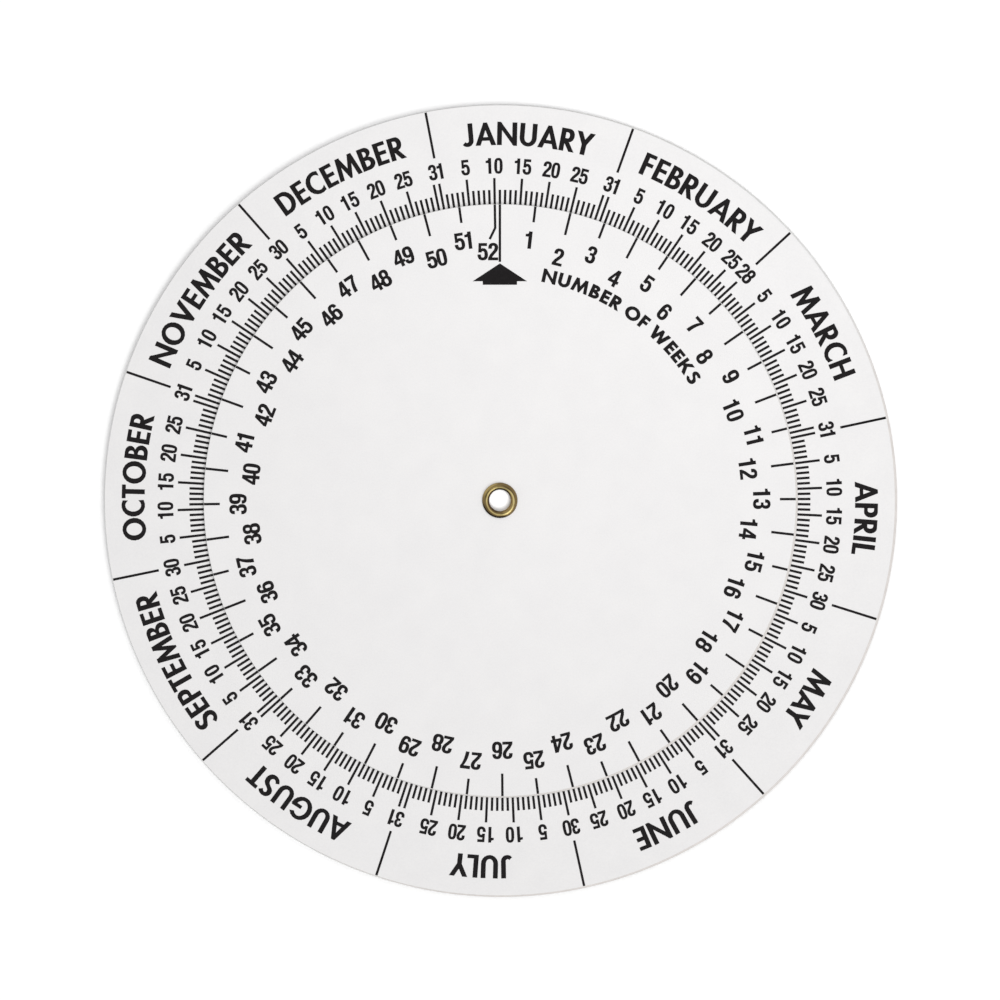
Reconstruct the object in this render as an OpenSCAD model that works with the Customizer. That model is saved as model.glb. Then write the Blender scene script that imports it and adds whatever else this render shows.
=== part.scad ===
// Date wheel calculator: a base disc printed with the days of the year, a smaller dial disc printed
// with the weeks, and the brass eyelet that holds them together and that the dial turns on.
// It lies face up, in millimetres. The origin is on the table under the middle of the eyelet.

/* [Base disc] */
// Diameter of the base disc, which carries the months and days
base_d = 108; // [100:0.5:130]
// Thickness of the base disc
base_t = 0.5; // [0.45:0.05:1]

/* [Dial disc] */
// Diameter of the dial disc, which carries the weeks
dial_d = 81; // [70:0.5:88]
// Thickness of the dial disc
dial_t = 0.5; // [0.45:0.05:1]
// Gap between the two discs, which clears the ink between them
face_gap = 0.04; // [0.03:0.01:0.1]

/* [Cut edges] */
// Width of the bevel that the cutting die leaves round the printed face of each disc
bevel_w = 0.27; // [0.1:0.01:0.5]
// Depth of that bevel
bevel_h = 0.31; // [0.05:0.01:0.34]
// Size of the small bevel round the back of each disc
back_bevel = 0.06; // [0.02:0.01:0.1]

/* [Eyelet] */
// Diameter of the hole through the eyelet
hole_d = 2.9; // [2:0.1:4]
// Thickness of the brass that the eyelet is drawn from
brass_t = 0.2; // [0.12:0.01:0.28]
// Radius of the domed flange, seen in section, on the front
flange_roll_r = 0.48; // [0.36:0.02:0.8]
// Radius of the rolled end, seen in section, on the back
clinch_roll_r = 0.36; // [0.34:0.02:0.6]
// Depth of the dent that the rolled end presses into the base disc
clinch_dent = 0.1; // [0.02:0.01:0.15]
// Width of the dent beyond the rolled end
dent_margin = 0.15; // [0.05:0.05:0.5]
// Clearance round the eyelet's barrel in the dial disc, which turns on it
running_gap = 0.06; // [0.02:0.01:0.1]
// Clearance round the eyelet's barrel in the base disc
seat_gap = 0.02; // [0.01:0.01:0.05]
// Play between the eyelet's flange and the dial disc
flange_play = 0.03; // [0.01:0.01:0.1]

/* [Print] */
// Thickness of the ink
ink_t = 0.015; // [0.01:0.005:0.02]
// Width of the lines on the base disc
day_line_w = 0.33; // [0.15:0.01:0.4]
// Width of the lines on the dial disc
week_line_w = 0.33; // [0.15:0.01:0.4]

/* [Days] */
// Day of the year that stands at the index at rest
rest_day = 11; // [1:1:365]
// Length of a day's line outside the dial disc
day_line_l = 1.74; // [1:0.01:2.5]
// Length outside the dial disc of the line for each fifth day and for a month's last day
fifth_day_line_l = 3.35; // [2:0.01:3.7]
// Length of the day lines that runs in under the dial disc
day_line_tuck = 0.6; // [0.2:0.1:2]
// Share of the room outside the fifth days' lines that the day numbers take from the month lines
day_number_share = 0.356; // [0.3:0.002:0.45]
// Bare margin between the lines between two months and the cut edge
rim_margin = 0.04; // [0.02:0.01:0.5]

/* [Weeks] */
// Length of the line of an odd week
odd_week_line_l = 2.15; // [1:0.01:4]
// Length of the line of an even week
even_week_line_l = 3.08; // [1:0.01:4]
// Length of the last week's line before it bends aside
last_week_line_l = 3.18; // [1:0.01:4]
// Sideways reach of the last week's line after its bend
last_week_bend_x = 0.77; // [0.2:0.01:1]
// Inward reach of the last week's line after its bend
last_week_bend_y = 1.52; // [0.8:0.01:2]

/* [Index] */
// Length of the index line
index_line_l = 7.8; // [5:0.01:10]
// Gap between the index line and the point of the arrow
arrow_gap = 0.21; // [0.05:0.01:1]
// Width of the arrow's head
arrow_head_w = 7.4; // [5:0.05:9]
// Height of the arrow's head
arrow_head_h = 2.43; // [1:0.01:4]
// Width of the arrow's foot
arrow_foot_w = 4.66; // [2:0.02:5]
// Height of the arrow's foot
arrow_foot_h = 0.48; // [0.2:0.02:2]

/* [Hidden] */
$fn = 96;

card_white = [0.95, 0.95, 0.95];
ink_black = [0.12, 0.11, 0.12];
aged_brass = [0.66, 0.55, 0.3];

// The calendar, and the angle of a day on the dial's 365 steps
MONTH_DAYS = [31, 28, 31, 30, 31, 30, 31, 31, 30, 31, 30, 31];
function days_before(month) = month == 0 ? 0 : MONTH_DAYS[month - 1] + days_before(month - 1);
year_days = days_before(len(MONTH_DAYS));
week_days = 7;
weeks = floor(year_days / week_days);
day_step = 360 / year_days;
fifth = 5;

// Radii of the discs, of their printed faces inside the cut edge, and of the eyelet's sections
base_r = base_d / 2;
dial_r = dial_d / 2;
base_face_r = base_r - bevel_w;
dial_face_r = dial_r - bevel_w;
hole_r = hole_d / 2;
barrel_r = hole_r + brass_t;
clinch_mid_r = hole_r + clinch_roll_r;
flange_mid_r = hole_r + flange_roll_r;
dent_r = clinch_mid_r + clinch_roll_r + dent_margin;

// Heights, from the rolled end that stands on the table up to the flange
clinch_lip_z = clinch_roll_r;
base_z = clinch_lip_z - clinch_dent;
base_top_z = base_z + base_t;
dial_z = base_top_z + face_gap;
dial_top_z = dial_z + dial_t;
flange_lip_z = dial_top_z + flange_play;

// A day of the year, or a count of days past the index, stands this far round, clockwise from +Y
function day_angle(year_day) = (year_day - rest_day) * day_step;
function is_long(day, month) = day % fifth == 0 || day == MONTH_DAYS[month];

// A disc of board with bevelled edges and a round hole
module board_disc(r, t, bore_r) {
    rotate_extrude()
        polygon([
            [bore_r, 0],
            [r - back_bevel, 0],
            [r, back_bevel],
            [r, t - bevel_h],
            [r - bevel_w, t],
            [bore_r, t]
        ]);
}

// A straight inked line from radius r_in to radius r_out, at an angle clockwise from +Y
module radial_line(angle, r_in, r_out, w) {
    rotate(-angle)
        translate([-w / 2, r_in, 0])
            cube([w, r_out - r_in, ink_t]);
}

// The section of sheet rolled through a half turn, which a revolve makes a hollow dome
module half_roll(roll_r, up) {
    intersection() {
        difference() {
            circle(r = roll_r);
            circle(r = roll_r - brass_t);
        }
        translate([-roll_r, up ? 0 : -roll_r])
            square([2 * roll_r, roll_r]);
    }
}

module base_disc() {
    color(card_white)
        translate([0, 0, base_z])
            difference() {
                board_disc(base_r, base_t, barrel_r + seat_gap);
                translate([0, 0, -clinch_dent])
                    cylinder(r = dent_r, h = 2 * clinch_dent);
            }
}

module dial_disc() {
    color(card_white)
        translate([0, 0, dial_z])
            board_disc(dial_r, dial_t, barrel_r + running_gap);
}

module eyelet() {
    color(aged_brass)
        rotate_extrude() {
            translate([hole_r, clinch_lip_z])
                square([brass_t, flange_lip_z - clinch_lip_z]);
            translate([clinch_mid_r, clinch_lip_z])
                half_roll(clinch_roll_r, false);
            translate([flange_mid_r, flange_lip_z])
                half_roll(flange_roll_r, true);
        }
}

module month_lines() {
    numbers_in_r = dial_r + fifth_day_line_l;
    line_out_r = base_face_r - rim_margin;
    line_in_r = numbers_in_r + day_number_share * (line_out_r - numbers_in_r);
    color(ink_black)
        translate([0, 0, base_top_z])
            for (month = [0 : len(MONTH_DAYS) - 1])
                radial_line(
                    day_angle(days_before(month) + MONTH_DAYS[month]),
                    line_in_r, line_out_r, day_line_w
                );
}

// The lines of one kind of day, long or short, right round the year
module day_scale(long, line_l) {
    color(ink_black)
        translate([0, 0, base_top_z])
            for (month = [0 : len(MONTH_DAYS) - 1], day = [1 : MONTH_DAYS[month]])
                if (is_long(day, month) == long)
                    radial_line(
                        day_angle(days_before(month) + day),
                        dial_r - day_line_tuck, dial_r + line_l, day_line_w
                    );
}

module fifth_day_lines() {
    day_scale(true, fifth_day_line_l);
}

module day_lines() {
    day_scale(false, day_line_l);
}

module week_lines() {
    color(ink_black)
        translate([0, 0, dial_top_z])
            for (week = [1 : weeks - 1])
                radial_line(
                    week * week_days * day_step,
                    dial_face_r - (week % 2 == 1 ? odd_week_line_l : even_week_line_l),
                    dial_face_r, week_line_w
                );
}

// The last week ends one day short of the index, so its line bends aside to reach its number
module last_week_line() {
    bend_r = dial_face_r - last_week_line_l;
    bend_l = norm([last_week_bend_x, last_week_bend_y]);
    color(ink_black)
        translate([0, 0, dial_top_z]) {
            radial_line(weeks * week_days * day_step, bend_r, dial_face_r, week_line_w);
            rotate(-weeks * week_days * day_step)
                translate([0, bend_r, 0])
                    cylinder(r = week_line_w / 2, h = ink_t);
            rotate(-weeks * week_days * day_step)
                translate([0, bend_r, 0])
                    rotate(-atan2(last_week_bend_x, last_week_bend_y))
                        translate([-week_line_w / 2, -bend_l, 0])
                            cube([week_line_w, bend_l, ink_t]);
        }
}

module index_line() {
    color(ink_black)
        translate([0, 0, dial_top_z])
            radial_line(0, dial_face_r - index_line_l, dial_face_r, week_line_w);
}

module index_arrow() {
    tip_y = dial_face_r - index_line_l - arrow_gap;
    head_y = tip_y - arrow_head_h;
    color(ink_black)
        translate([0, 0, dial_top_z])
            linear_extrude(ink_t)
                polygon([
                    [0, tip_y],
                    [arrow_head_w / 2, head_y],
                    [arrow_foot_w / 2, head_y],
                    [arrow_foot_w / 2, head_y - arrow_foot_h],
                    [-arrow_foot_w / 2, head_y - arrow_foot_h],
                    [-arrow_foot_w / 2, head_y],
                    [-arrow_head_w / 2, head_y]
                ]);
}

base_disc();
month_lines();
fifth_day_lines();
day_lines();
dial_disc();
week_lines();
last_week_line();
index_line();
index_arrow();
eyelet();
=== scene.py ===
"""Looks of the date wheel calculator: two printed discs of white board on a brass eyelet.

Lengths are metres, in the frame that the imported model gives. The discs lie face up round the Z
axis, and an angle round them is in degrees clockwise from +Y, as their scales are read.
"""
import math
import bmesh
import bpy
from mathutils import Matrix, Vector
from mathutils.geometry import delaunay_2d_cdt, normal


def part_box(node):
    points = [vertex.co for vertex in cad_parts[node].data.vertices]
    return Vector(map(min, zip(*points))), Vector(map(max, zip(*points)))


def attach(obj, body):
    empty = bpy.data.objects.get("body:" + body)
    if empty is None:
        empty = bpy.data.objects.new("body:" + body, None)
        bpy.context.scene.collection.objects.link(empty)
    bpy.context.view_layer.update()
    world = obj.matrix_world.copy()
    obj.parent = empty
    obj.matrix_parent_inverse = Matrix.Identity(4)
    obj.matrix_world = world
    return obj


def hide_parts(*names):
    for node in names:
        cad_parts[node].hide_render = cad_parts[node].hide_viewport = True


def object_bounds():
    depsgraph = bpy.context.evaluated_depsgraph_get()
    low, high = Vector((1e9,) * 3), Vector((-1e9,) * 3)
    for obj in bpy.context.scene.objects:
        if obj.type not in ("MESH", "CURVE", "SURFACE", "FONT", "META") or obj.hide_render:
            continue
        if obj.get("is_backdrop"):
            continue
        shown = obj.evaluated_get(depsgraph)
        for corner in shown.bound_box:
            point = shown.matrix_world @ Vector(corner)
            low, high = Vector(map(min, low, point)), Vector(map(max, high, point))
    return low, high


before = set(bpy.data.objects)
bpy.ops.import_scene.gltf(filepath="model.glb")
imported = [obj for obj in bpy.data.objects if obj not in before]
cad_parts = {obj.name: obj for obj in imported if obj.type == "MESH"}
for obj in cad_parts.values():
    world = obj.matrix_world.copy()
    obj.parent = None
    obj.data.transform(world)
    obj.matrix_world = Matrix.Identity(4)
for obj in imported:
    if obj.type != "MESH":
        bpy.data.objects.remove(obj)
cad_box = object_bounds()

MM = 0.001
ORIGIN = (0, 0, 0)
# Points this close are welded, and an edge this near a ring's radius and height lies on it
WELD_WITHIN = 1e-7
ON_RING_WITHIN = 1e-6

# Eyelet
HOLE_R = 1.45 * MM
BRASS_T = 0.2 * MM
FLANGE_ROLL_R = 0.48 * MM
CLINCH_ROLL_R = 0.36 * MM
ROLL_STEPS = 20
EYELET_STEPS = 96

# Board discs, and the clearances of the base and of the dial round the eyelet's barrel
SEAT_GAP = 0.02 * MM
RUNNING_GAP = 0.06 * MM
BASE_BORE_R = HOLE_R + BRASS_T + SEAT_GAP
DIAL_BORE_R = HOLE_R + BRASS_T + RUNNING_GAP
DENT_MARGIN = 0.15 * MM
DENT_R = HOLE_R + 2 * CLINCH_ROLL_R + DENT_MARGIN
DENT_DEPTH = 0.1 * MM
BEVEL_W = 0.25 * MM
BEVEL_H = 0.2 * MM
BACK_BEVEL = 0.06 * MM
CUT_ROUNDING = 0.03 * MM
DISC_STEPS = 240
# A face whose normal is less upright than this is the wall of a cut or of the dent
UPRIGHT_NORMAL = 0.995
# The die cut the base disc a little small, and off the middle of its print towards this azimuth
BASE_CUT_SHRINK = 0.09 * MM
BASE_CUT_SHIFT = 0.14 * MM
BASE_CUT_TOWARDS = 108
# It cut the dial close to the ends of its lines, and wider only on the side of this azimuth
DIAL_CUT_SHRINK = 0.22 * MM
DIAL_CUT_WIDENS = 0.27 * MM
DIAL_CUT_TOWARDS = 124

# Calendar
MONTHS = [
    ("JANUARY", 31), ("FEBRUARY", 28), ("MARCH", 31), ("APRIL", 30),
    ("MAY", 31), ("JUNE", 30), ("JULY", 31), ("AUGUST", 31),
    ("SEPTEMBER", 30), ("OCTOBER", 31), ("NOVEMBER", 30), ("DECEMBER", 31),
]
YEAR_DAYS = sum(days for _, days in MONTHS)
DAY_STEP = 360 / YEAR_DAYS
REST_DAY = 11
WEEK_DAYS = 7
LAST_WEEK = YEAR_DAYS // WEEK_DAYS
FIFTH = 5
# A fifth day this near its month's last day stands early, to leave room for that day's number
CROWDED_DAYS = 4
CROWDED_SHIFT = 0.39 * MM

# Lettering: how far ink spreads past a stroke, heights, and the radii of base lines or of middles
INK_SPREAD = 0.042 * MM
MONTH_H = 3.035 * MM
MONTH_BASE_R = 48.35 * MM
MONTH_BAR = 14.5
DAY_H = 2.05 * MM
DAY_MID_R = 45.505 * MM
DAY_STRETCH = 0.92
WEEK_H = 2.28 * MM
ODD_WEEK_MID_R = 35.615 * MM
EVEN_WEEK_MID_R = 34.005 * MM
WEEK_LEAD = 0.05 * MM
ONE_FIGURE_WEEK_LEAD = 0.18 * MM
TWO_FIGURES_FROM = 10
# Past this week the lead shrinks by this much a week
LEAD_SHRINKS_FROM = 40
LEAD_SHRINKS_BY = 0.013 * MM
LAST_WEEK_MID = (-1.62 * MM, 33.82 * MM)
LEGEND = "NUMBER OF WEEKS"
LEGEND_H = 1.755 * MM
LEGEND_BASE_R = 30.28 * MM
LEGEND_MID_ANGLE = 34.83
LEGEND_STRETCH = 1.2
LEGEND_BAR = 20
LEGEND_SIDE = 8
LEGEND_SPACE = 26

# Colours, as linear red, green and blue, and ramps of them, as (noise value, colour) stops
FACE_RAMP = [(0.3, (0.858, 0.847, 0.849)), (0.7, (0.91, 0.898, 0.895))]
COATED_CUT_RAMP = [
    (0.3, (0.68, 0.674, 0.667)), (0.5, (0.76, 0.755, 0.748)), (0.7, (0.82, 0.815, 0.808)),
]
CORE_CUT_RAMP = [
    (0.3, (0.655, 0.622, 0.597)), (0.5, (0.735, 0.702, 0.678)), (0.7, (0.795, 0.762, 0.738)),
]
INK_RAMP = [(0.25, (0.0045, 0.0035, 0.004)), (0.8, (0.011, 0.0095, 0.01))]
# Rubbed brass and a painted highlight, on the ring round the roll
RUBBED_AND_HIGHLIGHT = (0.57, 0.47, 0.207)
# Painted shade that dims the rubbed ring on two of its sides
RING_PAINTED_SHADE = (0.315, 0.262, 0.114)
RING_PAINTED_HALF_SHADE = (0.42, 0.33, 0.137)
BROWN = (0.2, 0.13, 0.058)
# Painted reflection: a lighter olive on one side of the roll
OLIVE_REFLECTION = (0.38, 0.285, 0.115)
STREAK = (0.065, 0.047, 0.02)
# Painted reflection that lightens the outer lip
LIP_REFLECTION_BROWN = (0.2, 0.14, 0.06)
# Painted light on the inner slope, on its lit side
INNER_SLOPE_PAINTED_LIGHT = (0.29, 0.205, 0.085)
# Painted shade in the throat, warmer and lighter on one side
THROAT_PAINTED_SHADE = (0.04, 0.028, 0.012)
THROAT_WARMER_SHADE = (0.115, 0.066, 0.028)
# Painted dark reflection on one side of the outer lip
PAINTED_DARK_REFLECTION = (0.012, 0.009, 0.004)
FLOOR_WHITE = (0.97, 0.97, 0.97)

# Sides, as (azimuth, how far towards it a change starts, how far towards it the change is full)
WIDE_CUT_SIDE = (132, 8 * MM, 36 * MM)
# These sides on the brass take its painted reflections, light and shade
OLIVE_REFLECTION_SIDE = (318, 0.2 * MM, 2.1 * MM)
LIP_OLIVE_REFLECTION_SIDE = (318, 1.7 * MM, 2.2 * MM)
INNER_SLOPE_LIT_SIDE = (120, 0.3 * MM, 1.4 * MM)
RING_SHADE_SIDE = (330, 0.6 * MM, 1.7 * MM)
RING_HALF_SHADE_SIDE = (222, 1.0 * MM, 1.9 * MM)
SHADED_SIDE = (315, -1.2 * MM, 0.4 * MM)
WARMER_SHADE_SIDE = (262, 0.3 * MM, 1.5 * MM)
DARK_REFLECTION_SIDE = (206, 0.95 * MM, 1.95 * MM)

# Rings, as (radius where a change starts, radius where it is full), on the brass and on the floor
OUTER_LIP = (2.04 * MM, 2.2 * MM)
INNER_SLOPE = (1.86 * MM, 1.76 * MM)
THROAT = (1.76 * MM, 1.6 * MM)
DARK_REFLECTION_LIP = (2.08 * MM, 2.26 * MM)
# Where the floor's painted light under the hole fades, and where painted shade by the wall sets in
HOLE_FLOOR = (1.05 * MM, 1.75 * MM)
WALL_SHADE = (1.15 * MM, 1.5 * MM)

# Noise: the span of most of its values, the spans in which streaks and stains come up, the shades
# of lines and of stains, and how fine both are
NOISE_SPAN = (0.3, 0.7)
STREAK_SPAN = (0.35, 0.65)
LINE_SHADES = (0.76, 1.24)
LINES_A_METRE = 11000
STAIN_SPAN = (0.54, 0.68)
STAIN_SHADES = (1.0, 0.76)
STAINS_A_METRE = 900

# Sockets of a Mix node when it mixes colours, which share their names with others of its sockets
MIX_FACTOR_IN = 0
MIX_A_IN = 6
MIX_B_IN = 7
MIX_OUT = 2

# Rubbed ring of the brass, partly rubbed wear and partly a painted highlight: it lies a little off
# the eyelet's middle, turns dull over the distances of its edge, and is uneven by the last value
RUBBED_HIGHLIGHT_R = 1.84 * MM
RUBBED_HIGHLIGHT_CENTRE = (0.06 * MM, -0.13 * MM, 0)
RUBBED_HIGHLIGHT_EDGE = (0.02 * MM, 0.16 * MM)
RUBBED_HIGHLIGHT_UNEVEN = 0.08 * MM

# Camera, floor and lamps
PICTURE_W = 135.918 * MM
PICTURE_MIDDLE = (0.016 * MM, 0.048 * MM)
CAMERA_H = 1.5
SENSOR_W = 36
FLOOR_SIZE = 12
# The floor is lifted to white by these strengths, near and far from a point, and in the hole, where
# the lift is painted light, cut back by painted shade beside the barrel's wall
NEAR_LIFT = 0.11
FAR_LIFT = 0.63
LIFT_STARTS = 60 * MM
LIFT_ENDS = 345 * MM
LIFT_AWAY_FROM = (19 * MM, 23 * MM, 0)
PAINTED_HOLE_LIGHT = 0.55
PAINTED_HOLE_LIGHT_AT = (-0.12 * MM, 0.38 * MM, 0)
WALL_LIFT_SHARE = 0.4
AMBIENT = 0.45


# Glyphs. A stroke is an outline in hundredths of the glyph's height, from its left foot.

GLYPH_UNITS = 100
# Steps of a curve or of an oval's quarter turn, and the width of a capital's uprights
ARC = 5
STEM = 19
# What a corner's mitre is divided by stays above this, so that sharp corners grow no spikes
MITRE_FLOOR = 0.6
# Crossing strokes are cut into cells: points this close are welded, and only cells inside are made
STROKE_WELD = 1e-3
CELLS_INSIDE = 1
# Edges that bend less than this are dissolved
FLAT_WITHIN = math.radians(1)


def bar(x0, y0, x1, y1):
    """An upright or level stroke."""
    return [[(x0, y0), (x1, y0), (x1, y1), (x0, y1)]]


def slab(x0, y0, x1, y1, width):
    """A slanted stroke with level ends, its left edge from (x0, y0) to (x1, y1)."""
    return [[(x0, y0), (x0 + width, y0), (x1 + width, y1), (x1, y1)]]


def strip(side_a, side_b):
    """A stroke between two rows of points."""
    return [
        [side_a[i], side_a[i + 1], side_b[i + 1], side_b[i]]
        for i in range(len(side_a) - 1)
    ]


def mirrored(strokes, width):
    """The strokes with their left and right changed over, within the glyph's width."""
    return [[(width - x, y) for x, y in stroke] for stroke in strokes]


def turned_over(strokes, width):
    """The strokes turned half round, within the glyph's width and height."""
    return [[(width - x, GLYPH_UNITS - y) for x, y in stroke] for stroke in strokes]


def bend(start, start_pull, end_pull, end):
    """Points along a curve that leaves and arrives along its pulls."""
    corners = (start, start_pull, end_pull, end)
    points = []
    for i in range(ARC + 1):
        t = i / ARC
        u = 1 - t
        weights = (u**3, 3 * u * u * t, 3 * u * t * t, t**3)
        points.append(tuple(sum(w * c[axis] for w, c in zip(weights, corners)) for axis in (0, 1)))
    return points


def bends(start, *curves):
    """Points along curves joined end to end, each given as (start pull, end pull, end)."""
    points = [start]
    for start_pull, end_pull, end in curves:
        points += bend(points[-1], start_pull, end_pull, end)[1:]
    return points


def oval(shape, start, end, steps, square=2.0):
    """Points round an oval (middle x, middle y, radius x, radius y); square is 2 on an ellipse."""
    cx, cy, rx, ry = shape
    points = []
    for i in range(steps + 1):
        angle = math.radians(start + (end - start) * i / steps)
        # Rounding makes the quarter points exact, where a root would enlarge a stray remainder
        c = round(math.cos(angle), 9)
        s = round(math.sin(angle), 9)
        points.append((
            cx + rx * math.copysign(abs(c) ** (2 / square), c),
            cy + ry * math.copysign(abs(s) ** (2 / square), s),
        ))
    return points


def bow(outer, inner, start, end, inner_start=None, inner_end=None, square=(2.0, 2.0)):
    """A curved stroke between two ovals."""
    steps = max(1, round(ARC * abs(end - start) / 90))
    inner_start = start if inner_start is None else inner_start
    inner_end = end if inner_end is None else inner_end
    return strip(
        oval(outer, start, end, steps, square[0]),
        oval(inner, inner_start, inner_end, steps, square[1]),
    )


# Condensed numbers, each as (strokes, width)

def number_0():
    return bow((28.8, 50, 28.8, 50.8), (28.8, 50, 11.3, 37.4), 0, 360, square=(2.7, 4)), 57.6


def number_1():
    flag_top = oval((0.5, 100, 22.5, 17), 270, 360, ARC)
    flag_foot = [(x, 71.5) for x, _ in flag_top]
    return bar(18.9, 0, 36.5, 100) + strip(flag_top, flag_foot), 36.5


def number_2():
    bowl = bow((28.8, 73, 27.8, 27.4), (28.8, 72.5, 10.1, 14.2), 0, 180, square=(2.3, 2.8))
    terminal = bar(1, 69, 18.7, 73)
    tail = strip(
        bend((56.6, 73), (56.6, 50), (31, 37), (18.5, 13.6)),
        bend((38.9, 72.5), (38.9, 50), (0, 40), (0, 0)),
    )
    return bowl + terminal + tail + bar(0, 0, 56.5, 13.6), 56.6


def number_3():
    upper = bow((28.4, 74, 26.4, 26.5), (28.4, 72.3, 10.2, 14.3), -90, 180, square=(2.25, 2.5))
    lower = bow((28.4, 27.6, 28.7, 28.4), (28.4, 30.3, 11, 17), 90, -180, square=(2.3, 2.8))
    waist = bar(20.7, 46.5, 28.4, 58.4)
    terminals = bar(2, 71.5, 18.2, 74) + bar(-0.3, 27.5, 17.4, 29.7)
    return upper + lower + waist + terminals, 57


def number_4():
    slant = [[(-0.2, 36.6), (14.5, 36.6), (46, 100), (32.4, 100)]]
    return bar(34.6, 0, 50.8, 100) + bar(-0.2, 22.3, 61.9, 36.6) + slant, 61.7


def number_5():
    bowl_foot = bow((29.3, 31, 29.4, 31.8), (29.3, 31, 12.2, 17.8), -180, 0, square=(2.3, 2.8))
    bowl_top = bow((29.3, 31, 29.4, 37.8), (29.3, 31, 12.2, 23.2), 0, 90, square=(2.3, 2.8))
    shoulder = strip(
        bend((29.3, 68.8), (24, 68.8), (20.5, 66), (18, 62)),
        bend((29.3, 54.2), (24.5, 54.2), (21.3, 51), (20.6, 46.5)),
    )
    back = [[(4, 46.5), (20.6, 46.5), (18, 62), (5, 62)], [(5, 62), (18, 62), (18.4, 99), (5.7, 99)]]
    terminal = bar(-0.1, 25, 17.2, 28.5)
    return bowl_foot + bowl_top + shoulder + back + terminal + bar(5.7, 85, 53, 99), 58.7


def number_6():
    bowl = bow((30.6, 32, 28.8, 32.7), (30.6, 33, 11.4, 19), 0, 360, square=(2.4, 2.8))
    hook = bow((29.3, 75, 27.3, 25.8), (29.8, 74, 10.2, 12.6), 0, 90, square=(2.3, 2.8))
    back = bow((29.3, 48, 28.1, 52.8), (29.8, 56, 11.8, 30.6), 90, 180, square=(2.6, 2.6))
    side = [[(1.2, 48), (18, 56), (20, 31), (1.8, 31)]]
    return bowl + hook + back + side, 59.6


def number_7():
    leg = strip(
        bend((56.7, 86), (42, 64), (34, 30), (32.6, 0)),
        bend((41.5, 83.6), (26, 62), (16, 32), (14, 0)),
    )
    return bar(0, 83.6, 56.7, 99.4) + leg, 56.7


def number_8():
    upper = bow((30.3, 74, 26.8, 26.8), (30.3, 72.3, 10.3, 14.3), 0, 360, square=(2.25, 2.5))
    lower = bow((30.3, 29.5, 30.2, 30.3), (30.3, 30.6, 11.8, 17.4), 0, 360, square=(2.3, 2.6))
    return upper + lower, 60.5


def number_9():
    strokes, width = number_6()
    return turned_over(strokes, width), width


NUMBERS = [
    number_0, number_1, number_2, number_3, number_4,
    number_5, number_6, number_7, number_8, number_9,
]
# Numbers stand in boxes of one width, the one nearer its box's left side than the rest
NUMBER_BOX = 62
ONE_LEFT = 3


# Plain geometric capitals. b is the thickness of a level stroke, which some letters haven't got.

def stem(left=0, foot=0, top=GLYPH_UNITS):
    """A capital's upright stroke."""
    return bar(left, foot, left + STEM, top)


def letter_a(b):
    leg = [[(0, 0), (20, 0), (44.5, 71.8), (44.5, 100), (37, 100)]]
    return leg + mirrored(leg, 89) + bar(14, 21, 75, 21 + 0.93 * b), 89


def letter_b(b):
    upper = bow((28, 77.5, 26, 22.5), (24, 72.5, 12, 27.5 - b), -90, 90)
    lower = bow((31, 28.5, 31, 28.5), (28, 29.5, 15, 29 - b), -90, 90)
    levels = bar(10, 100 - b, 28, 100) + bar(10, 44, 28, 58) + bar(10, 0, 31, b)
    return stem() + upper + lower + levels, 62


def letter_c(b):
    return bow((49, 50, 49, 51.7), (49, 50, 29.3, 51.5 - b), 63, 297, 42, 318), 71


def letter_d(b):
    bowl = bow((34, 50, 41, 50), (29, 50, 27, 50 - b), -90, 90)
    return stem() + bowl + bar(10, 100 - b, 34, 100) + bar(10, 0, 34, b), 75


def letter_e(b):
    levels = bar(10, 100 - b, 52, 100) + bar(10, 52 - b / 2, 50, 52 + b / 2) + bar(10, 0, 52, b)
    return stem() + levels, 52


def letter_f(b):
    levels = bar(10, 100 - b, 49, 100) + bar(10, 51 - b / 2, 47, 51 + b / 2)
    return stem() + levels, 49


def letter_g(b):
    ring = bow((49, 50.5, 49, 52), (49, 50.5, 29.3, 52 - b), 39, 357, 43, 355)
    return ring + bar(50, 39.5, 94, 38.5 + b), 94


def letter_h(b):
    return stem() + stem(56) + bar(10, 50.5 - b / 2, 65, 50.5 + b / 2), 75


def letter_i(b):
    return stem(), STEM


def letter_j(b):
    hook = bow((19, 25, 27, 27), (17.5, 25, 9.5, 26 - b), 0, -138, 0, -140)
    return stem(27, 25) + hook, 46


def letter_k(b):
    return stem() + slab(7, 38, 53, 100, 24) + slab(53, 0, 19, 60, 25), 78


def letter_l(b):
    return stem() + bar(10, 0, 48, b), 48


def letter_m(b):
    half = slab(0, 0, 15, 100.5, 18) + [[(15, 101), (31, 101), (53, 39.5), (53, -1.5), (49.5, -1.5)]]
    return half + mirrored(half, 106), 106


def letter_n(b):
    slant = [[(0, 95), (0, 102), (14, 102), (87, 5), (87, -2), (73, -2)]]
    return stem(0, 0, 98) + stem(68, 2) + slant, 87


def letter_o(b):
    return bow((49, 50, 49.5, 51.8), (49, 50, 29.3, 51.3 - b), 0, 360), 98


def letter_p(b):
    bowl = bow((38, 70.5, 23, 29.5), (31, 69.7, 10.5, 29.7 - b), -90, 90)
    return stem() + bowl + bar(10, 100 - b, 38, 100) + bar(10, 41, 38, 40 + b), 61


def letter_r(b):
    bowl = bow((36, 71, 23, 29), (29.5, 70, 10.5, 29.5 - b), -90, 90)
    levels = bar(10, 100 - b, 36, 100) + bar(10, 42, 36, 41.5 + b)
    return stem() + bowl + levels + slab(45, 0, 12, 48, 21.5), 66.5


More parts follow.
